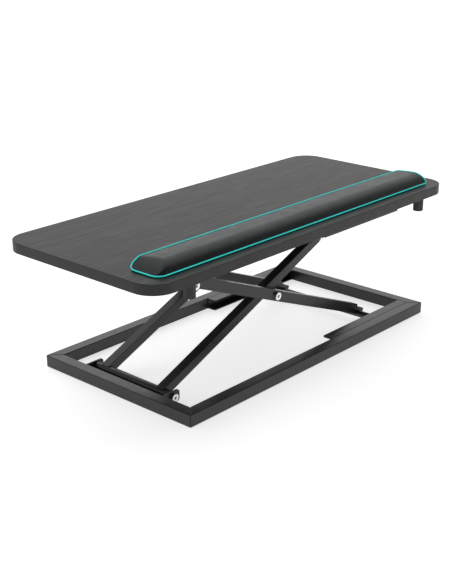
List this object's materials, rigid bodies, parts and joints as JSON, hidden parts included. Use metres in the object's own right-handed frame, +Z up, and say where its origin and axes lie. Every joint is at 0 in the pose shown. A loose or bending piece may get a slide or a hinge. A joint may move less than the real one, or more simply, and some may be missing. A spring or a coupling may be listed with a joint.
{
  "type": "standing desk converter",
  "caption": "Low desktop riser: a rounded wood-grain desktop carried level on a crossing-leg lift over a rectangular steel floor frame, with a long padded wrist rest.",
  "frame": {"origin": "centre of the base frame's outline, on the surface it stands on", "axes": "+X to the user's right along the desktop's length, +Y away from the user, +Z up"},
  "size_m": [0.722, 0.3205, 0.2461],
  "materials": {
    "powder_coat": "satin black powder coat, fine orange peel",
    "shaft_steel": "black phosphated steel, slightly oily",
    "plated_steel": "bright zinc plate",
    "chrome_rod": "ground and hard-chromed",
    "laminate": "black wood-grain laminate on fibreboard, matt",
    "edge_band": "satin plastic edge band with faint grain",
    "rubber": "moulded matt rubber",
    "nylon": "natural moulded nylon",
    "moulded_plastic": "fine-textured black",
    "brake_lining": "bonded friction lining",
    "leatherette": "smooth black leatherette, soft sheen",
    "piping": "teal woven piping"
  },
  "bodies": {
    "base": {"base_bar_front": "powder_coat", "base_bar_rear": "powder_coat", "base_bar_left": "powder_coat", "base_bar_right": "powder_coat", "lower_rail_front": "powder_coat", "lower_rail_rear": "powder_coat", "lower_ear_front": "powder_coat", "lower_ear_rear": "powder_coat", "foot_pads": "rubber"},
    "inner_legs": {"inner_leg_front": "powder_coat", "inner_leg_rear": "powder_coat", "lower_pivot_tube": "powder_coat", "lower_pivot_bolts": "plated_steel", "center_bolts": "plated_steel", "center_nuts": "plated_steel", "center_spacers": "moulded_plastic", "inner_brace": "powder_coat", "inner_brace_bolts": "plated_steel", "upper_shaft": "shaft_steel"},
    "outer_legs": {"outer_leg_front": "powder_coat", "outer_leg_rear": "powder_coat", "upper_pivot_tube": "powder_coat", "upper_pivot_bolts": "plated_steel", "outer_brace": "powder_coat", "outer_brace_bolts": "plated_steel", "spring_lugs": "powder_coat", "spring_pin": "plated_steel", "lower_shaft": "shaft_steel", "leg_end_caps": "moulded_plastic"},
    "lower_slider": {"lower_glide_front": "nylon", "lower_glide_rear": "nylon"},
    "upper_slider": {"upper_glide_front": "nylon", "upper_glide_rear": "nylon", "lock_bar": "shaft_steel"},
    "spring_body": {"spring_cylinder": "powder_coat"},
    "spring_piston": {"spring_rod": "chrome_rod", "rod_eye": "powder_coat"},
    "desk": {"desktop_panel": "laminate", "edge_band": "edge_band", "upper_rail_front": "powder_coat", "upper_rail_rear": "powder_coat", "upper_ear_front": "powder_coat", "upper_ear_rear": "powder_coat", "desktop_screws": "plated_steel", "bumper_front_left": "rubber", "bumper_front_right": "rubber", "bumper_rear_left": "rubber", "bumper_rear_right": "rubber", "lock_housing": "powder_coat", "lever_pin": "plated_steel", "lever_spring": "plated_steel"},
    "lever": {"release_lever": "shaft_steel", "lever_grip": "moulded_plastic", "brake_shoe": "brake_lining"},
    "rest": {"wrist_rest_pad": "leatherette", "wrist_rest_base": "rubber", "wrist_rest_piping": "piping"}
  },
  "joints": [
    {"name": "lift", "type": "hinge", "parent": "base", "child": "inner_legs", "pos_m": [-0.258, 0, 0.0115], "axis": [0, -1, 0], "range_deg": [-20.25, 25.2]},
    {"name": "leg_cross", "type": "hinge", "parent": "inner_legs", "child": "outer_legs", "pos_m": [-0.03005, 0, 0.1092], "axis": [0, -1, 0], "range_deg": [-50.4, 40.5]},
    {"name": "desk_level", "type": "hinge", "parent": "outer_legs", "child": "desk", "pos_m": [-0.2608, 0, 0.20009], "axis": [0, -1, 0], "range_deg": [-20.25, 25.2]},
    {"name": "lower_slider_level", "type": "hinge", "parent": "outer_legs", "child": "lower_slider", "pos_m": [0.19789, 0, 0.0115], "axis": [0, -1, 0], "range_deg": [-20.25, 25.2]},
    {"name": "upper_slider_level", "type": "hinge", "parent": "inner_legs", "child": "upper_slider", "pos_m": [0.20069, 0, 0.20009], "axis": [0, -1, 0], "range_deg": [-25.2, 20.25]},
    {"name": "spring_body_pivot", "type": "hinge", "parent": "outer_legs", "child": "spring_body", "pos_m": [-0.16792, 0, 0.16829], "axis": [0, -1, 0], "range_deg": [-20.25, 25.2]},
    {"name": "spring_rod_pivot", "type": "hinge", "parent": "inner_legs", "child": "spring_piston", "pos_m": [0.10782, 0, 0.16829], "axis": [0, -1, 0], "range_deg": [-25.2, 20.25]},
    {"name": "lever_squeeze", "type": "hinge", "parent": "desk", "child": "lever", "pos_m": [0.0275, -0.122, 0.19959], "axis": [-1, 0, 0], "range_deg": [0, 8], "stiffness_Nm_per_rad": 1.5, "springref_deg": -17.19},
    {"name": "wrist_rest_lift", "type": "slide", "parent": "desk", "child": "rest", "axis": [0, 0, 1], "range_m": [0, 0.04]}
  ],
  "couplings": [
    {"joint": "leg_cross", "follows": "lift", "ratio": -2},
    {"joint": "desk_level", "follows": "lift", "ratio": 1},
    {"joint": "lower_slider_level", "follows": "lift", "ratio": 1},
    {"joint": "upper_slider_level", "follows": "lift", "ratio": -1},
    {"joint": "spring_body_pivot", "follows": "lift", "ratio": 1},
    {"joint": "spring_rod_pivot", "follows": "lift", "ratio": -1}
  ]
}
